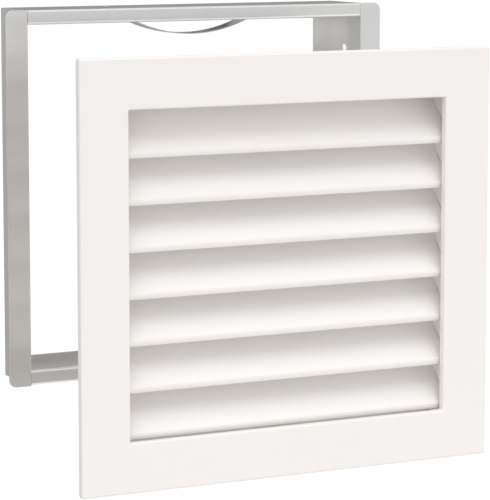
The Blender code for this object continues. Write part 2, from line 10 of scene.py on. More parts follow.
import bmesh
import bpy
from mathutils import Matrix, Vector

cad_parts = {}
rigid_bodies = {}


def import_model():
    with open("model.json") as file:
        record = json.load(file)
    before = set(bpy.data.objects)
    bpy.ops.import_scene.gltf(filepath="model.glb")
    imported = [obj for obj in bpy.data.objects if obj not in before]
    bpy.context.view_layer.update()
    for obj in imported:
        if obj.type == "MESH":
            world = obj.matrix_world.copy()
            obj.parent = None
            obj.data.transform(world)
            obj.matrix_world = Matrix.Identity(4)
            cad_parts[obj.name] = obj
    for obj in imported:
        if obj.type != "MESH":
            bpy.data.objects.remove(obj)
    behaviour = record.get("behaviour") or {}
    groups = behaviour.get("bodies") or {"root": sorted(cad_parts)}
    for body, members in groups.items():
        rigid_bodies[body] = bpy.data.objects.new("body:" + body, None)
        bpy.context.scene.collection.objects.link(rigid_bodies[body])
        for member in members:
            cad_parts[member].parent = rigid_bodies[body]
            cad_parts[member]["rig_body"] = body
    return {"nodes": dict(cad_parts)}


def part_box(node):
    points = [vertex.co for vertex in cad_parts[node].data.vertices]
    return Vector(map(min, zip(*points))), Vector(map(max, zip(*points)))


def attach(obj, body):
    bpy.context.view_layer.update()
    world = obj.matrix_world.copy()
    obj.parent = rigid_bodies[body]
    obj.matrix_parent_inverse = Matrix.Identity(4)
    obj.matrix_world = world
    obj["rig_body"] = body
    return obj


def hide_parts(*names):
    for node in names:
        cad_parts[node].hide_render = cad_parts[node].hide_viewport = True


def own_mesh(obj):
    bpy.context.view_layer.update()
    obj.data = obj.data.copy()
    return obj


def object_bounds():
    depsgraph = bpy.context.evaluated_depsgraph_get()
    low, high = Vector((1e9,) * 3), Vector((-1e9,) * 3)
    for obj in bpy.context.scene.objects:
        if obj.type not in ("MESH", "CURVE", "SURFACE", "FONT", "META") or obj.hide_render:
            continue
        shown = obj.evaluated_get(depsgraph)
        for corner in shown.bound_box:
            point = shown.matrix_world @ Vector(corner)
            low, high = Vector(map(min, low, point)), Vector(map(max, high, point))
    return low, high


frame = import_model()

cad_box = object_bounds()

# ---------------------------------------------------------------- sizes

SHEET = 0.001
GAP = 0.0003  # between pieces that touch
SEAM = 0.0001  # between a rail's ends and the side walls
SLAT_SEAM = 0.00003  # between a slat's ends and the carriers, bridged by the coat
BEND = 0.0006  # inside radius of a bend
EAR_BEND = 0.0002  # inside radius where an ear leaves its wall
EAR_EDGE = 0.0004  # radius of the coined edge on the front of that bend
CUT_EDGE = 0.00013  # rounding of a bare sheet's cut edges
COAT_EDGE = 0.00022  # rounding of a coated sheet's edges
BEND_STEPS = 10
EDGE_STEPS = 3
DOME_STEPS = 8
ROUND_STEPS = 48
SHARP_ANGLE = math.radians(35)  # an edge is rounded where its faces meet at more than this
SPLIT = 2e-6  # points closer than this are one point
TINY = 1e-6  # edges shorter than this are closed up
MITRE_LIMIT = 0.2  # stops a sheet's outline from running out at a very sharp corner

# The grille's places: x across, depth behind the panel's front face, height over the panel's middle
panel_low, panel_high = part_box("front_panel")
FRONT = panel_low.y
MIDDLE = (panel_low.z + panel_high.z) / 2
PANEL_WIDTH = panel_high.x - panel_low.x
PANEL_HEIGHT = panel_high.z - panel_low.z
PANEL_RIM = panel_high.y - panel_low.y
PANEL_BEND = 0.0013
PANEL_CORNER = 0.0014
SIDE_BORDER = 0.0293
RIM_SLIT = 0.0003  # between the ends of the rim's strips
RIM_SLIT_LENGTH = 0.006
OPENING_BEND = 0.00104
OPENING_CORNER = 0.0009

carrier_low, carrier_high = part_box("slat_carrier_right")
collar_low, collar_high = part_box("collar_top")
COLLAR_FRONT = carrier_low.y - FRONT
COLLAR_BACK = carrier_high.y - FRONT
COLLAR_INNER = collar_low.z - MIDDLE
COLLAR_OUTER = collar_high.z - MIDDLE
COLLAR_CLEARANCE = 0.0006
CARRIER_BACK = collar_high.x
CARRIER_FACE = CARRIER_BACK - SHEET
CARRIER_TOP = carrier_high.z - MIDDLE
OPENING_WIDTH = PANEL_WIDTH - 2 * SIDE_BORDER
OPENING_HEIGHT = 2 * (COLLAR_INNER - SHEET - COLLAR_CLEARANCE)

slat_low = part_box("slat_1")[0]
SLAT_COUNT = 7
SLAT_SHEET = 0.0008
SLAT_FACE = slat_low.y - FRONT
SLAT_LIP = 0.003
SLAT_BEND = 0.0018
LIP_TUCK = 0.0008  # how far the lip's lower edge leans back
SLAT_BLADE = 0.029
SLAT_ANGLE = math.radians(50.0)
SLAT_LENGTH = 2 * (CARRIER_FACE - SLAT_SEAM)
TONGUE_WIDTH = 0.009
TONGUE_FOLD = 0.0032  # length of the folded end on the carrier's outer face
TONGUE_LIFT = 0.0001  # between the folded end and the carrier
TONGUE_BEND = 0.00012  # inside radius of that fold
END_FLANGE_OVERLAP = 5 * SHEET  # how far an end flange's sheet runs down the carrier's plate

side_low, side_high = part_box("frame_side_right")
rail_low, rail_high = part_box("frame_top")
EAR_FRONT = rail_low.y
FRAME_BACK = rail_high.y
FRAME_TOP = rail_high.z
FRAME_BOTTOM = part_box("frame_bottom")[0].z
EAR_BOTTOM = side_low.z
EAR_TIP = side_high.x
SIDE_BACK = side_high.y
SIDE_FACE = rail_high.x + GAP
SIDE_RETURN = SIDE_FACE - side_low.x
RAIL_RETURN = rail_high.z - rail_low.z
RAIL_SHEET = 0.00096
FLANGE_HEIGHT = 0.0082
FLANGE_BEND = 0.0002
HEM_HEIGHT = 0.004
HEM_RADIUS = 0.0012  # of the sheet's middle in the flange's open hem
EAR_CORNER = 0.0045
SCREW_HOLE_RADIUS = 0.0025
SCREW_HOLE_INSET = 0.0285

spring_low, spring_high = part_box("leaf_spring")
SPRING_SHEET = 0.0006
SPRING_FOOT = 0.0085
SPRING_SLOT = 0.0026
SPRING_STEPS = 72
RIVET_RADIUS = 0.0015
RIVET_HEAD = 0.0008
FLAT_HEAD = 0.0003  # head of the rivets under the collar's clearance
HOLE_CLEARANCE = 0.0003

# Spot welds: a dent in three rings, in a row along the middle of a flange
WELD_RIM = 0.0019
WELD_SIDE = 0.0017
WELD_FLOOR = 0.0014
WELD_DEPTH = 0.00012
WELD_MIDDLE_DEPTH = 0.00016
WELD_PLACE = 0.6  # share of the flange's reach
CARRIER_WELDS = 6
CARRIER_WELD_SPAN = 0.92  # share of the flange's length
PLATE_WELDS = 7
PLATE_WELD_SPAN = 0.93

# Turns for an outline drawn in x and y and extruded along z
ALONG_X = (math.pi / 2, 0.0, math.pi / 2)
ALONG_Y = (math.pi / 2, 0.0, 0.0)
ALONG_Z = (0.0, 0.0, 0.0)
FACING_X = (0.0, math.pi / 2, 0.0)
FACING_Y = (-math.pi / 2, 0.0, 0.0)
GRILLE = Vector((0.0, FRONT, MIDDLE))


# ---------------------------------------------------------------- outlines


def arc(centre, radius, start, end, steps=BEND_STEPS):
    """Points of an arc about centre, from start to end, in degrees."""
    points = []
    for step in range(steps + 1):
        angle = math.radians(start + (end - start) * step / steps)
        points.append((centre[0] + radius * math.cos(angle), centre[1] + radius * math.sin(angle)))
    return points


def bent(points, radii):
    """The open path through points with a round bend of the given radius at each inner corner."""
    path = [Vector(points[0])]
    for before, corner, after, radius in zip(points, points[1:], points[2:], radii):
        corner = Vector(corner)
        back = (Vector(before) - corner).normalized()
        ahead = (Vector(after) - corner).normalized()
        half = back.angle(ahead) / 2
        centre = corner + (back + ahead).normalized() * (radius / math.sin(half))
        start = corner + back * (radius / math.tan(half)) - centre
        end = corner + ahead * (radius / math.tan(half)) - centre
        turn = math.atan2(start.x * end.y - start.y * end.x, start.dot(end))
        for step in range(BEND_STEPS + 1):
            angle = turn * step / BEND_STEPS
            path.append(centre + Vector((
                start.x * math.cos(angle) - start.y * math.sin(angle),
                start.x * math.sin(angle) + start.y * math.cos(angle),
            )))
    path.append(Vector(points[-1]))
    return path


def strip(path, thickness):
    """The closed outline of a sheet whose middle line is path."""
    left = []
    right = []
    for index, point in enumerate(path):
        into = (point - path[max(index - 1, 0)]).normalized()
        out = (path[min(index + 1, len(path) - 1)] - point).normalized()
        if index == 0:
            into = out
        if index == len(path) - 1:
            out = into
        along = (into + out).normalized()
        side = Vector((-along.y, along.x)) * (thickness / 2 / max(along.dot(into), MITRE_LIMIT))
        left.append(point + side)
        right.append(point - side)
    return [(point.x, point.y) for point in left + right[::-1]]


def mirrored(points, across):
    """The same points on the other side of x = 0 where across is -1."""
    return [(across * x, y) for x, y in points]


# ---------------------------------------------------------------- solids


def new_object(name, shape, turn=ALONG_Z, place=(0, 0, 0)):
    """An object from a bmesh, which is freed."""
    bmesh.ops.recalc_face_normals(shape, faces=shape.faces)
    mesh = bpy.data.meshes.new(name)
    shape.to_mesh(mesh)
    shape.free()
    solid = bpy.data.objects.new(name, mesh)
    bpy.context.scene.collection.objects.link(solid)
    solid.rotation_euler = turn
    solid.location = place
    return solid


def prism(name, outline, length, turn=ALONG_Z, place=(0, 0, 0)):
    """A closed outline extruded by length about its own plane."""
    shape = bmesh.new()
    base = [shape.verts.new((x, y, -length / 2)) for x, y in outline]
    face = shape.faces.new(base)
    grown = bmesh.ops.extrude_face_region(shape, geom=[face])
    top = [item for item in grown["geom"] if isinstance(item, bmesh.types.BMVert)]
    bmesh.ops.translate(shape, vec=(0, 0, length), verts=top)
    return new_object(name, shape, turn, place)


def turned(name, profile, turn=ALONG_Z, place=(0, 0, 0)):
    """A profile of (radius, height) points, from one end of the axis to the other, turned about it."""
    shape = bmesh.new()
    verts = [shape.verts.new((radius, 0.0, height)) for radius, height in profile]
    edges = [shape.edges.new(pair) for pair in zip(verts, verts[1:])]
    bmesh.ops.spin(shape, geom=verts + edges, cent=(0, 0, 0), axis=(0, 0, 1),
                   angle=2 * math.pi, steps=ROUND_STEPS)
    bmesh.ops.remove_doubles(shape, verts=shape.verts, dist=TINY / 10)
    return new_object(name, shape, turn, place)


def block(name, low, high, turn=ALONG_Z):
    """A box between two corners, turned about its own middle."""
    shape = bmesh.new()
    bmesh.ops.create_cube(shape, size=1.0)
    bmesh.ops.scale(shape, vec=Vector(high) - Vector(low), verts=shape.verts)
    return new_object(name, shape, turn, (Vector(low) + Vector(high)) / 2)


def drill(name, radius, length, place, turn):
    """A round tool along its own Z axis."""
    half = length / 2
    return turned(name, [(0.0, half), (radius, half), (radius, -half), (0.0, -half)], turn, place)


def apply_modifiers(solid):
    """Make the mesh what its modifiers show, and drop them."""
    bpy.context.view_layer.update()
    evaluated = solid.evaluated_get(bpy.context.evaluated_depsgraph_get())
    mesh = bpy.data.meshes.new_from_object(evaluated)
    solid.modifiers.clear()
    solid.data = mesh


def combine(solid, tools, operation="DIFFERENCE"):
    """Cut tools out of solid, or join them on, in turn; the tools are removed."""
    for tool in tools:
        modifier = solid.modifiers.new(tool.name, "BOOLEAN")
        modifier.operation = operation
        modifier.solver = "EXACT"
        modifier.object = tool
    apply_modifiers(solid)
    for tool in tools:
        bpy.data.objects.remove(tool, do_unlink=True)


def even_shading(solid):
    """Apply the modifiers with a last one that keeps flat faces evenly lit."""
    even = solid.modifiers.new("shading", "WEIGHTED_NORMAL")
    even.keep_sharp = True
    apply_modifiers(solid)


def soften(solid, edge):
    """Weld what a cut left split, round the sharp edges and even out the shading of the flat faces."""
    shape = bmesh.new()
    shape.from_mesh(solid.data)
    bmesh.ops.remove_doubles(shape, verts=shape.verts, dist=SPLIT)
    bmesh.ops.dissolve_degenerate(shape, edges=shape.edges, dist=TINY)
    shape.to_mesh(solid.data)
    shape.free()
    solid.data.shade_smooth()
    bevel = solid.modifiers.new("edges", "BEVEL")
    bevel.width = edge
    bevel.segments = EDGE_STEPS
    bevel.limit_method = "ANGLE"
    bevel.angle_limit = SHARP_ANGLE
    bevel.use_clamp_overlap = False
    even_shading(solid)


def dress(piece, node, material):
    """Material, body and node of a finished piece."""
    piece.data.materials.clear()
    piece.data.materials.append(material)
    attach(piece, frame["nodes"][node]["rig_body"])
    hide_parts(node)


# ---------------------------------------------------------------- finishes


def add(tree, kind, inputs=(), **settings):
    """A node with its settings and its inputs: a plain value, or another node's output."""
    made = tree.nodes.new(kind)
    for key, value in settings.items():
        setattr(made, key, value)
    for key, value in dict(inputs).items():
        if isinstance(value, bpy.types.NodeSocket):
            tree.links.new(value, made.inputs[key])
        else:
            made.inputs[key].default_value = value
    return made


def spread(tree, value, low, high):
    """A 0 to 1 value moved to the range from low to high."""
    return add(tree, "ShaderNodeMapRange", {"Value": value, "To Min": low, "To Max": high}).outputs[0]


def blended(tree, amount, first, second):
    """A colour between two, by an amount from 0 to 1."""
    made = add(tree, "ShaderNodeMix", {"Factor": amount}, data_type="RGBA")
    made.inputs["A"].default_value = (*first, 1.0)
    made.inputs["B"].default_value = (*second, 1.0)
    return made.outputs["Result"]


def noise(tree, where, scale, detail=3.0, roughness=0.5):
    """A cloudy 0 to 1 value; a higher scale makes finer clouds."""
    return add(tree, "ShaderNodeTexNoise", {"Vector": where, "Scale": scale, "Detail": detail,
                                            "Roughness": roughness}).outputs["Fac"]


def new_material(name):
    """A material with its node tree, its shader and the place on the object."""
    material = bpy.data.materials.new(name)
    material.use_nodes = True
    tree = material.node_tree
    where = add(tree, "ShaderNodeTexCoord").outputs["Object"]
    return material, tree, tree.nodes["Principled BSDF"], where


def white_coat():
    """Semi-matt powder coat: a fine orange-peel skin over slow, faint changes of tone and gloss."""
    material, tree, shader, where = new_material("white_coat")
    tone = noise(tree, where, 9.0)
    colour = blended(tree, tone, (0.875, 0.850, 0.828), (0.892, 0.862, 0.842))
    tree.links.new(colour, shader.inputs["Base Color"])
    gloss = spread(tree, noise(tree, where, 55.0, 4.0), 0.40, 0.50)
    tree.links.new(gloss, shader.inputs["Roughness"])
    shader.inputs["Specular IOR Level"].default_value = 0.45
    peel = noise(tree, where, 620.0, 2.0)
    grain = noise(tree, where, 2600.0, 1.0)
    skin = add(tree, "ShaderNodeBump", {"Height": grain, "Strength": 0.08, "Distance": 0.00002})
    bump = add(tree, "ShaderNodeBump", {"Height": peel, "Strength": 0.22, "Distance": 0.00006,
                                        "Normal": skin.outputs[0]})
    tree.links.new(bump.outputs[0], shader.inputs["Normal"])
    return material


def bare_sheet(name, stretch, dark, light, rough, bump_height):
    """Rolled metal sheet: faint zinc grains, roll lines along the sheet and a few handling marks."""
    material, tree, shader, where = new_material(name)
    shader.inputs["Metallic"].default_value = 1.0
    warp = add(tree, "ShaderNodeTexNoise", {"Vector": where, "Scale": 90.0, "Detail": 2.0})
    bent_place = add(tree, "ShaderNodeVectorMath",
                     {0: warp.outputs["Color"], 1: (0.004, 0.004, 0.004)}, operation="MULTIPLY")
    moved = add(tree, "ShaderNodeVectorMath", {0: where, 1: bent_place.outputs[0]})
    grains = add(tree, "ShaderNodeTexVoronoi", {"Vector": moved.outputs[0], "Scale": 130.0})
    grain = add(tree, "ShaderNodeSeparateColor", {"Color": grains.outputs["Color"]}).outputs[0]
    drawn = add(tree, "ShaderNodeMapping", {"Vector": where, "Scale": stretch}).outputs[0]
    lines = noise(tree, drawn, 900.0, 4.0, 0.6)
    cloud = noise(tree, where, 14.0, 3.0)

    tone = add(tree, "ShaderNodeMath", {0: spread(tree, grain, 0.0, 0.15),
                                        1: spread(tree, lines, 0.0, 0.45)})
    tone = add(tree, "ShaderNodeMath", {0: tone.outputs[0], 1: spread(tree, cloud, 0.0, 0.40)})
    colour = blended(tree, tone.outputs[0], dark, light)
    tree.links.new(colour, shader.inputs["Base Color"])
    gloss = add(tree, "ShaderNodeMath", {0: spread(tree, lines, rough - 0.02, rough + 0.02),
                                         1: spread(tree, cloud, -0.02, 0.02)})
    tree.links.new(gloss.outputs[0], shader.inputs["Roughness"])
    bump = add(tree, "ShaderNodeBump", {"Height": lines, "Strength": 0.12, "Distance": bump_height})
    tree.links.new(bump.outputs[0], shader.inputs["Normal"])
    return material


# ---------------------------------------------------------------- front panel


def ring(width, height, radius):
    """A rounded rectangle with the same number of points whatever its size."""
    across = width / 2 - radius
    up = height / 2 - radius
    points = arc((across, -up), radius, -90, 0)
    points += arc((across, up), radius, 0, 90)
    points += arc((-across, up), radius, 90, 180)
    points += arc((-across, -up), radius, 180, 270)
    return points


def panel_ring(inset, depth):
    """One turn round the panel, at a distance in from its outer edge."""
    if inset < SIDE_BORDER / 2:
        points = ring(PANEL_WIDTH - 2 * inset, PANEL_HEIGHT - 2 * inset,
                      max(PANEL_CORNER - inset, PANEL_CORNER / 4))
    else:
        out = SIDE_BORDER - inset
        points = ring(OPENING_WIDTH + 2 * out, OPENING_HEIGHT + 2 * out,
                      max(OPENING_CORNER + out, OPENING_CORNER / 4))
    return [(x, depth, z) for x, z in points]


def rounded_strip(path, thickness, edge):
    """The outline of a sheet whose cut edges are rounded by edge."""
    outline = [Vector(point) for point in strip(path, thickness)]
    half = len(outline) // 2
    corners = {0, half - 1, half, len(outline) - 1}
    points = []
    for index, point in enumerate(outline):
        if index not in corners:
            points.append(point)
            continue
        back = (outline[index - 1] - point).normalized()
        ahead = (outline[(index + 1) % len(outline)] - point).normalized()
        centre = point + (back + ahead) * edge
        for step in range(EDGE_STEPS + 1):
            angle = math.pi / 2 * step / EDGE_STEPS
            points.append(centre - ahead * edge * math.cos(angle) - back * edge * math.sin(angle))
    return points


def front_panel():
    """One sheet: a flat border, a rim folded back all round, and a folded edge at the opening."""
    half = SHEET / 2
    fold = PANEL_RIM - COAT_EDGE
    path = bent([(half, PANEL_RIM), (half, half), (SIDE_BORDER - half, half), (SIDE_BORDER - half, fold)],
                (PANEL_BEND - half, OPENING_BEND - half))
    shape = bmesh.new()
    turns = []
    for point in rounded_strip(path, SHEET, COAT_EDGE):
        turns.append([shape.verts.new(corner) for corner in panel_ring(point.x, point.y)])
    for this, after in zip(turns, turns[1:] + turns[:1]):
        for index in range(len(this)):
            ahead = (index + 1) % len(this)
            shape.faces.new((this[index], this[ahead], after[ahead], after[index]))
    solid = new_object("panel", shape, place=GRILLE)

    # The rim's four strips end just short of each other at the corners.
    slits = []
    for across in (-1, 1):
        for up in (-1, 1):
            corner = Vector((across * (PANEL_WIDTH / 2 - PANEL_CORNER / 3), PANEL_BEND + SHEET / 2,
                             up * (PANEL_HEIGHT / 2 - PANEL_CORNER / 3)))
            low = GRILLE + corner - Vector((RIM_SLIT_LENGTH / 2, 0, RIM_SLIT / 2))
            high = GRILLE + corner + Vector((RIM_SLIT_LENGTH / 2, 2 * PANEL_RIM, RIM_SLIT / 2))
            slits.append(block("slit", low, high, (0, -across * up * math.pi / 4, 0)))
    combine(solid, slits)
    soften(solid, COAT_EDGE / 3)
    return solid


# ---------------------------------------------------------------- louvre slats


def slat_path():
    """Middle line of a slat: depth, and height over its lower edge."""
    front = SLAT_FACE + SLAT_SHEET / 2
    tip = (front + SLAT_BLADE * math.cos(SLAT_ANGLE), SLAT_LIP + SLAT_BLADE * math.sin(SLAT_ANGLE))
    return bent([(front + LIP_TUCK, 0.0), (front, SLAT_LIP / 2), (front, SLAT_LIP), tip],
                (SLAT_LIP, SLAT_BEND / 2))


def tongue_middle():
    """The middle of a slat's tongue: depth, and height over the slat's lower edge."""
    along = SLAT_BLADE / 2
    return (SLAT_FACE + SLAT_SHEET / 2 + along * math.cos(SLAT_ANGLE),
            SLAT_LIP + along * math.sin(SLAT_ANGLE))


def slat_foot(number):
    """Height of a slat's lower edge; slat 1 is the top one."""
    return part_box(f"slat_{number}")[0].z - MIDDLE


def louvre_slat(number):
    """A blade with a front lip, held by an end tongue that is folded over behind each carrier."""
    foot = Vector((0, 0, slat_foot(number)))
    solid = prism(f"louvre_{number}", strip(slat_path(), SLAT_SHEET), SLAT_LENGTH, ALONG_X,
                  GRILLE + foot)
    depth, height = tongue_middle()
    tongues = []
    for across in (-1, 1):
        outer = CARRIER_BACK + TONGUE_LIFT + SLAT_SHEET / 2
        path = bent([(SLAT_LENGTH / 2 - SLAT_SHEET, 0.0), (outer, 0.0), (outer, TONGUE_FOLD)],
                    (SLAT_SHEET / 2 + TONGUE_BEND,))
        outline = mirrored(strip(path, SLAT_SHEET), across)
        turn = (SLAT_ANGLE - math.pi / 2, 0, 0)
        tongues.append(prism("tongue", outline, TONGUE_WIDTH, turn,
                             GRILLE + foot + Vector((0, depth, height))))
    combine(solid, tongues, "UNION")
    soften(solid, COAT_EDGE / 3)
    return solid


# ---------------------------------------------------------------- collar


def slot_outline():
    """Section of a carrier's slot for a slat's tongue."""
    depth, height = tongue_middle()
    half_width = TONGUE_WIDTH / 2 + GAP
    half_sheet = SLAT_SHEET / 2 + GAP
    cosine, sine = math.cos(SLAT_ANGLE), math.sin(SLAT_ANGLE)
    points = []
    for x, y in ((-1, -1), (1, -1), (1, 1), (-1, 1)):
        x, y = x * half_width, y * half_sheet
        points.append((depth + x * cosine - y * sine, height + x * sine + y * cosine))
    return points


def weld_mark(place, turn):
    """A tool that leaves the shallow round dent of a spot weld."""
    return turned("weld", [(0.0, SHEET), (WELD_RIM, SHEET), (WELD_SIDE, 0.0), (WELD_FLOOR, -WELD_DEPTH),
                           (0.0, -WELD_MIDDLE_DEPTH)], turn, place)


def carrier(across):
    """A side of the collar: a slotted plate with a front flange turned out and end flanges turned in."""
    half = SHEET / 2
    face = across * (CARRIER_FACE + half)
    flange_tip = across * carrier_high.x
    path = bent([(flange_tip, COLLAR_FRONT + half), (face, COLLAR_FRONT + half), (face, COLLAR_BACK)],
                (BEND + half,))
    solid = prism("carrier_left" if across < 0 else "carrier_right", strip(path, SHEET),
                  2 * CARRIER_TOP, ALONG_Z, GRILLE)
    ends = []
    inner = across * carrier_low.x
    length = COLLAR_BACK - PANEL_RIM - GAP
    for up in (-1, 1):
        end_face = up * (CARRIER_TOP - half)
        end_path = bent([(face, up * (CARRIER_TOP - END_FLANGE_OVERLAP)), (face, end_face),
                         (inner, end_face)], (BEND + half,))
        ends.append(prism("end", strip(end_path, SHEET), length, ALONG_Y,
                          GRILLE + Vector((0, COLLAR_BACK - length / 2, 0))))
    # Room for the bends of the end flanges
    corners = []
    for up in (-1, 1):
        outer = across * (CARRIER_BACK + SHEET)
        near = across * (CARRIER_FACE - SHEET)
        low_x, high_x = sorted((outer, near))
        low_z, high_z = sorted((up * (CARRIER_TOP - SHEET - BEND), up * (CARRIER_TOP + SHEET)))
        corners.append(block("corner", GRILLE + Vector((low_x, PANEL_RIM + GAP, low_z)),
                             GRILLE + Vector((high_x, COLLAR_BACK + SHEET, high_z))))
    combine(solid, corners)
    combine(solid, ends, "UNION")
    cuts = []
    for number in range(1, SLAT_COUNT + 1):
        cuts.append(prism("slot", slot_outline(), 4 * SHEET, ALONG_X,
                          GRILLE + Vector((across * CARRIER_FACE, 0, slat_foot(number)))))
    for label in ("top", "bottom"):
        cuts.append(rivet_hole(f"collar_rivet_{label}_{'left' if across < 0 else 'right'}", ALONG_Z))
    middle = across * (CARRIER_BACK + (carrier_high.x - CARRIER_BACK) * WELD_PLACE)
    for step in range(CARRIER_WELDS):
        height = CARRIER_TOP * CARRIER_WELD_SPAN * (1 - 2 * step / (CARRIER_WELDS - 1))
        cuts.append(weld_mark(GRILLE + Vector((middle, COLLAR_FRONT + SHEET, height)), FACING_Y))
    combine(solid, cuts)
    soften(solid, COAT_EDGE)
    return solid


def rivet_hole(node, turn):
    """A drill through the sheets that a rivet holds, at the rivet's own place."""
    low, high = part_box(node)
    return drill("hole", RIVET_RADIUS + HOLE_CLEARANCE, 8 * SHEET, (low + high) / 2, turn)


def collar_plate(label, up):
    """The top or bottom of the collar, with a flange that is welded to the back of the border."""
    half = SHEET / 2
    path = bent([
        (COLLAR_BACK, up * (COLLAR_INNER + half)),
        (COLLAR_FRONT + half, up * (COLLAR_INNER + half)),
        (COLLAR_FRONT + half, up * COLLAR_OUTER),
    ], (BEND + half,))
    solid = prism(f"collar_plate_{label}", strip(path, SHEET), 2 * CARRIER_BACK, ALONG_X, GRILLE)
    cuts = [rivet_hole(f"collar_rivet_{label}_{side}", ALONG_Z) for side in ("left", "right")]
    middle = up * (COLLAR_INNER + (COLLAR_OUTER - COLLAR_INNER) * WELD_PLACE)
    for step in range(PLATE_WELDS):
        across = CARRIER_BACK * PLATE_WELD_SPAN * (1 - 2 * step / (PLATE_WELDS - 1))
        cuts.append(weld_mark(GRILLE + Vector((across, COLLAR_FRONT + SHEET, middle)), FACING_Y))
    combine(solid, cuts)
    soften(solid, COAT_EDGE)
    return solid


# ---------------------------------------------------------------- mounting frame


def rail(label, outer_face, inward):
    """A top or bottom rail: a hemmed front flange, a wall and a return at the back."""
    half = RAIL_SHEET / 2
    fold = FLANGE_HEIGHT - HEM_RADIUS - half
    path = bent([
        (FRAME_BACK - half, RAIL_RETURN), (FRAME_BACK - half, half),
        (EAR_FRONT + half, half), (EAR_FRONT + half, fold),
    ], (BEND + half, FLANGE_BEND + half))
    tip = (EAR_FRONT + half + HEM_RADIUS, fold)
    path += [Vector(point) for point in arc(tip, HEM_RADIUS, 180, 0, 2 * BEND_STEPS)[1:]]
    path.append(Vector((EAR_FRONT + half + 2 * HEM_RADIUS, FLANGE_HEIGHT - HEM_HEIGHT)))
    outline = [(x, inward * y) for x, y in strip(path, RAIL_SHEET)]
    solid = prism(f"rail_{label}", outline, 2 * (SIDE_FACE - SEAM), ALONG_X, (0, 0, outer_face))
    cuts = [rivet_hole(f"corner_rivet_{label}_{side}", FACING_Y) for side in ("left", "right")]
    if label == "top":
        cuts += [rivet_hole(f"spring_rivet_{side}", ALONG_Z) for side in ("left", "right")]
    combine(solid, cuts)
    soften(solid, CUT_EDGE)
    return solid


def side_outline():
    """Section of the right side rail: ear, edge, wall, bend and return, then back along the outside."""
    outer = BEND + SHEET
    points = [(EAR_TIP, EAR_FRONT + SHEET), (EAR_TIP, EAR_FRONT)]
    points += arc((SIDE_FACE + EAR_EDGE, EAR_FRONT + EAR_EDGE), EAR_EDGE, 270, 180)
    points += arc((SIDE_FACE - EAR_BEND, SIDE_BACK - SHEET - EAR_BEND), EAR_BEND, 0, 90)
    points += [(SIDE_FACE - SIDE_RETURN, SIDE_BACK - SHEET), (SIDE_FACE - SIDE_RETURN, SIDE_BACK)]
    points += arc((SIDE_FACE - BEND, SIDE_BACK - outer), outer, 90, 0)
    points += arc((SIDE_FACE + SHEET + EAR_BEND, EAR_FRONT + SHEET + EAR_BEND), EAR_BEND, 180, 270)
    return points


def side_rail(side, across):
    """A side rail: ear with round corners, wall with two screw holes, and a return at the back."""
    height = FRAME_TOP - EAR_BOTTOM
    solid = prism(f"side_{side}", mirrored(side_outline(), across), height, ALONG_Z,
                  (0, 0, (FRAME_TOP + EAR_BOTTOM) / 2))

    behind_ear = EAR_FRONT + SHEET + EAR_BEND + GAP
    inner = across * (SIDE_FACE - 2 * SIDE_RETURN)
    low_x, high_x = sorted((inner, across * (SIDE_FACE + (EAR_TIP - SIDE_FACE) / 2)))
    cuts = [block("foot", (low_x, behind_ear, EAR_BOTTOM - SHEET), (high_x, FRAME_BACK, FRAME_BOTTOM))]
    low_x, high_x = sorted((inner, across * (SIDE_FACE - GAP)))
    for label, face, inward in (("top", FRAME_TOP, -1), ("bottom", FRAME_BOTTOM, 1)):
        low_z, high_z = sorted((face + inward * (SHEET + BEND + GAP), face - inward * SHEET))
        cuts.append(block("return", (low_x, behind_ear, low_z), (high_x, FRAME_BACK, high_z)))
        cuts.append(rivet_hole(f"corner_rivet_{label}_{side}", FACING_Y))
        middle = (across * SIDE_FACE, (EAR_FRONT + FRAME_BACK) / 2, face + inward * SCREW_HOLE_INSET)
        cuts.append(drill("screw", SCREW_HOLE_RADIUS, 6 * SHEET, middle, FACING_X))
    for edge, inward in ((FRAME_TOP, -1), (EAR_BOTTOM, 1)):
        far = EAR_TIP + EAR_CORNER
        corner = [(far, -EAR_CORNER), (EAR_TIP - EAR_CORNER, -EAR_CORNER)]
        corner += arc((EAR_TIP - EAR_CORNER, EAR_CORNER), EAR_CORNER, -90, 0, 2 * BEND_STEPS)
        corner += [(far, EAR_CORNER)]
        outline = [(across * x, edge + inward * y) for x, y in corner]
        cuts.append(prism("ear", outline, 6 * SHEET, ALONG_Y, (0, EAR_FRONT, 0)))
    combine(solid, cuts)
    soften(solid, CUT_EDGE)
    return solid


def leaf_spring():
    """A bowed strip held by one fixed and one slotted foot."""
    foot = spring_high.z - SPRING_SHEET / 2
    chord = spring_high.x - SPRING_FOOT
    sag = foot - spring_low.z - SPRING_SHEET / 2
    radius = (chord**2 + sag**2) / (2 * sag)
    reach = math.asin(chord / radius)
    centre = foot - sag + radius
    path = [Vector((-spring_high.x, foot))]
    for step in range(SPRING_STEPS + 1):
        angle = reach * (2 * step / SPRING_STEPS - 1)
        path.append(Vector((radius * math.sin(angle), centre - radius * math.cos(angle))))
    path.append(Vector((spring_high.x, foot)))
    middle = (spring_low.y + spring_high.y) / 2
    solid = prism("spring", strip(path, SPRING_SHEET), spring_high.y - spring_low.y, ALONG_Y,
                  (0, middle, 0))
    hole = RIVET_RADIUS + HOLE_CLEARANCE
    across = chord + SPRING_FOOT / 2
    slot = arc((across + SPRING_SLOT / 2, 0), hole, -90, 90, 2 * BEND_STEPS)
    slot += arc((across - SPRING_SLOT / 2, 0), hole, 90, 270, 2 * BEND_STEPS)
    combine(solid, [rivet_hole("spring_rivet_left", ALONG_Z),
                    prism("slot", slot, 8 * SPRING_SHEET, ALONG_Z, (0, middle, foot))])
    soften(solid, CUT_EDGE)
    return solid


# ---------------------------------------------------------------- rivets


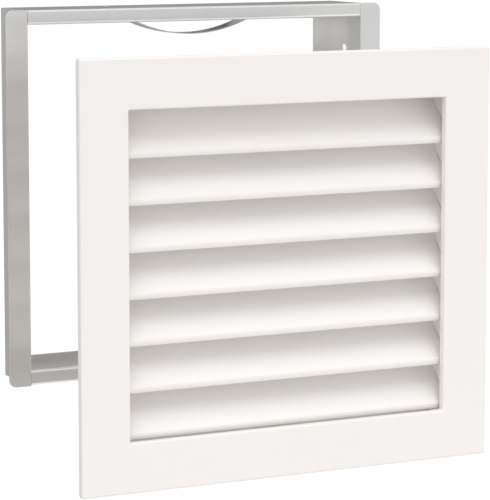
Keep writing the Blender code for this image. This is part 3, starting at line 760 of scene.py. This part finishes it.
def blind_rivet(name, node, turn, head):
    """A blind rivet: a domed head with the broken stem in its hole, and a swelled end."""
    low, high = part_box(node)
    size = high - low
    radius = size.x / 2
    half = (size.y if turn == FACING_Y else size.z) / 2
    top = half - head
    stem = radius * 0.34
    hole = stem * 1.14
    # The stem's broken end and the hole round it, as shares of the stem and the head
    profile = [(0.0, half - head * 0.30), (stem * 0.8, half - head * 0.32), (stem, half - head * 0.40),
               (stem, half - head * 0.62), (stem * 1.12, half - head * 0.62), (hole, half - head * 0.10)]
    # The dome, down to its flat underside and the shank
    for step in range(1, DOME_STEPS + 1):
        angle = math.pi / 2 * step / DOME_STEPS
        profile.append((hole + (radius - hole) * math.sin(angle),
                        top + head * (0.22 + 0.70 * math.cos(angle))))
    profile += [(radius, top + head * 0.08), (radius * 0.97, top), (RIVET_RADIUS, top)]
    # The swelled end
    end = RIVET_HEAD
    profile += [(RIVET_RADIUS, -half + end), (radius * 0.90, -half + end)]
    for step in range(DOME_STEPS + 1):
        angle = math.pi / 2 * step / DOME_STEPS
        profile.append((radius * (0.55 + 0.42 * math.cos(angle)),
                        -half + end * 0.85 * (1 - math.sin(angle))))
    profile += [(0.0, -half)]
    solid = turned(name, profile, turn, (low + high) / 2)
    solid.data.shade_smooth()
    even_shading(solid)
    return solid


# ---------------------------------------------------------------- studio

FRONT_LIGHT = 1.09
BACK_LIGHT = 0.23
TOP_LIGHT = 0.87
SIDE_LIGHT = 0.24
FRONT_WAY = (-0.25, -0.95, 0.0)  # the brightest side, a little to the left
SIDE_WAY = (-0.75, 0.66, 0.0)  # a second, weaker light at the back left
SIDE_START = 0.6  # how closely a direction has to follow SIDE_WAY to be lit by it
TOP_START = 0.35  # height at which the front and back light starts to give way to the top light
SUN_STRENGTH = 1.1
SUN_SIZE = math.radians(44)
SUN_FROM = (-0.6, -1.2, 3.2)

FLOOR_RADIUS = 60.0
FLOOR_DROP = 0.30  # below the lowest point of the part
POOL_MIDDLE = (0.9, -1.8)
POOL_EDGE = 1.8  # the painted pool of light on the mirrored floor is full up to this far from its middle
POOL_END = 3.0
FLOOR_SEEN = (0.97, 0.968, 0.965, 1.0)
# Painted light on the floor: the colour that reflections and bounce see, a lit pool near the object and
# painted shade far off
FLOOR_PAINTED_LIGHT = (0.90, 0.885, 0.875)
FLOOR_PAINTED_SHADE = (0.34, 0.34, 0.34)

LENS = 189.63  # in millimetres, on a sensor 36 mm wide
CAMERA_YAW = 0.4846
CAMERA_PITCH = 0.1340
CAMERA_DISTANCE = 1.46333
CAMERA_TARGET = (-0.03005, FRONT, -0.02052)


def pale_floor():
    """A matt floor, white to the eye; to reflections and bounced light it shows a painted pool of light
    that dims to painted shade away from the object.
    """
    material, tree, shader, where = new_material("pale_floor")
    far = add(tree, "ShaderNodeVectorMath", {0: where}, operation="LENGTH").outputs["Value"]
    share = add(tree, "ShaderNodeMapRange", {"Value": far, "From Min": POOL_EDGE, "From Max": POOL_END,
                                             "To Min": 0.0, "To Max": 1.0}).outputs[0]
    # painted pool of light and shade, which only reflections and bounced light see
    painted_pool = blended(tree, share, FLOOR_PAINTED_LIGHT, FLOOR_PAINTED_SHADE)
    seen = add(tree, "ShaderNodeLightPath").outputs["Is Camera Ray"]
    colour = add(tree, "ShaderNodeMix", {"Factor": seen, "A": painted_pool, "B": FLOOR_SEEN}, data_type="RGBA")
    tree.links.new(colour.outputs["Result"], shader.inputs["Base Color"])
    shader.inputs["Roughness"].default_value = 0.9
    return material


def studio():
    """The floor, a wide soft sun and a sky that is brightest in front and overhead."""
    shape = bmesh.new()
    bmesh.ops.create_circle(shape, cap_ends=True, segments=96, radius=FLOOR_RADIUS)
    floor = new_object("floor", shape, place=(*POOL_MIDDLE, cad_box[0].z - FLOOR_DROP))
    floor.data.materials.append(pale_floor())

    sun = bpy.data.lights.new("key", "SUN")
    sun.energy = SUN_STRENGTH
    sun.angle = SUN_SIZE
    key = bpy.data.objects.new("key", sun)
    bpy.context.scene.collection.objects.link(key)
    key.rotation_euler = Vector(SUN_FROM).to_track_quat("Z", "Y").to_euler()

    world = bpy.data.worlds.new("studio")
    bpy.context.scene.world = world
    world.use_nodes = True
    tree = world.node_tree
    way = add(tree, "ShaderNodeTexCoord").outputs["Generated"]
    height = add(tree, "ShaderNodeSeparateXYZ", {0: way}).outputs["Z"]
    front = add(tree, "ShaderNodeVectorMath", {0: way, 1: FRONT_WAY}, operation="DOT_PRODUCT")
    level = add(tree, "ShaderNodeMapRange", {"Value": front.outputs["Value"], "From Min": -1.0,
                                             "From Max": 1.0, "To Min": BACK_LIGHT,
                                             "To Max": FRONT_LIGHT}).outputs[0]
    side = add(tree, "ShaderNodeVectorMath", {0: way, 1: SIDE_WAY}, operation="DOT_PRODUCT")
    side = add(tree, "ShaderNodeMapRange", {"Value": side.outputs["Value"], "From Min": SIDE_START,
                                            "From Max": 1.0, "To Min": 0.0, "To Max": SIDE_LIGHT})
    level = add(tree, "ShaderNodeMath", {0: level, 1: side.outputs[0]}).outputs[0]
    high = add(tree, "ShaderNodeMapRange", {"Value": height, "From Min": TOP_START,
                                            "From Max": 1.0, "To Min": 0.0, "To Max": 1.0})
    sky = add(tree, "ShaderNodeMix", {0: high.outputs[0], 2: level, 3: TOP_LIGHT}).outputs[0]
    tree.links.new(sky, tree.nodes["Background"].inputs["Strength"])
    tree.nodes["Background"].inputs["Color"].default_value = (1.0, 1.0, 1.0, 1.0)


def camera():
    """The photograph's view: a long lens, turned 27.8 degrees to the right and 7.7 degrees down."""
    lens = bpy.data.cameras.new("camera")
    lens.lens = LENS
    lens.sensor_width = 36.0
    lens.clip_end = 200.0
    seen = bpy.data.objects.new("camera", lens)
    bpy.context.scene.collection.objects.link(seen)
    level = math.cos(CAMERA_PITCH)
    ahead = Vector((math.sin(CAMERA_YAW) * level, math.cos(CAMERA_YAW) * level, -math.sin(CAMERA_PITCH)))
    seen.location = Vector(CAMERA_TARGET) - ahead * CAMERA_DISTANCE
    seen.rotation_euler = (math.pi / 2 - CAMERA_PITCH, 0.0, -CAMERA_YAW)
    bpy.context.scene.camera = seen


# ---------------------------------------------------------------- build

COAT = white_coat()
ZINC = ((0.86, 0.855, 0.845), (0.91, 0.905, 0.895), 0.26, 0.000012)
ZINC_ACROSS = bare_sheet("galvanised_rail", (0.03, 1.0, 1.0), *ZINC)
ZINC_UPRIGHT = bare_sheet("galvanised_side", (1.0, 1.0, 0.03), *ZINC)
SPRING_STEEL = bare_sheet("spring_steel", (0.05, 1.0, 1.0), (0.60, 0.60, 0.61),
                          (0.70, 0.70, 0.71), 0.20, 0.000006)
ALUMINIUM = bare_sheet("rivet_aluminium", (1.0, 1.0, 1.0), (0.76, 0.76, 0.77),
                       (0.84, 0.84, 0.85), 0.30, 0.00001)

dress(front_panel(), "front_panel", COAT)
for number in range(1, SLAT_COUNT + 1):
    dress(louvre_slat(number), f"slat_{number}", COAT)
for side, across in (("left", -1), ("right", 1)):
    dress(carrier(across), f"slat_carrier_{side}", COAT)
    dress(side_rail(side, across), f"frame_side_{side}", ZINC_UPRIGHT)
for label, up in (("top", 1), ("bottom", -1)):
    dress(collar_plate(label, up), f"collar_{label}", COAT)
dress(rail("top", FRAME_TOP, -1), "frame_top", ZINC_ACROSS)
dress(rail("bottom", FRAME_BOTTOM, 1), "frame_bottom", ZINC_ACROSS)

spring = leaf_spring()
dress(spring, "leaf_spring", SPRING_STEEL)
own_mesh(spring)

for side in ("left", "right"):
    for label in ("top", "bottom"):
        for group, turn in (("collar", ALONG_Z), ("corner", FACING_Y)):
            node = f"{group}_rivet_{label}_{side}"
            dress(blind_rivet(f"{group}_pin_{label}_{side}", node, turn, RIVET_HEAD), node, ALUMINIUM)
    node = f"spring_rivet_{side}"
    dress(blind_rivet(f"spring_pin_{side}", node, ALONG_Z, FLAT_HEAD), node, ALUMINIUM)

studio()
camera()
bpy.context.scene.view_settings.view_transform = "Standard"
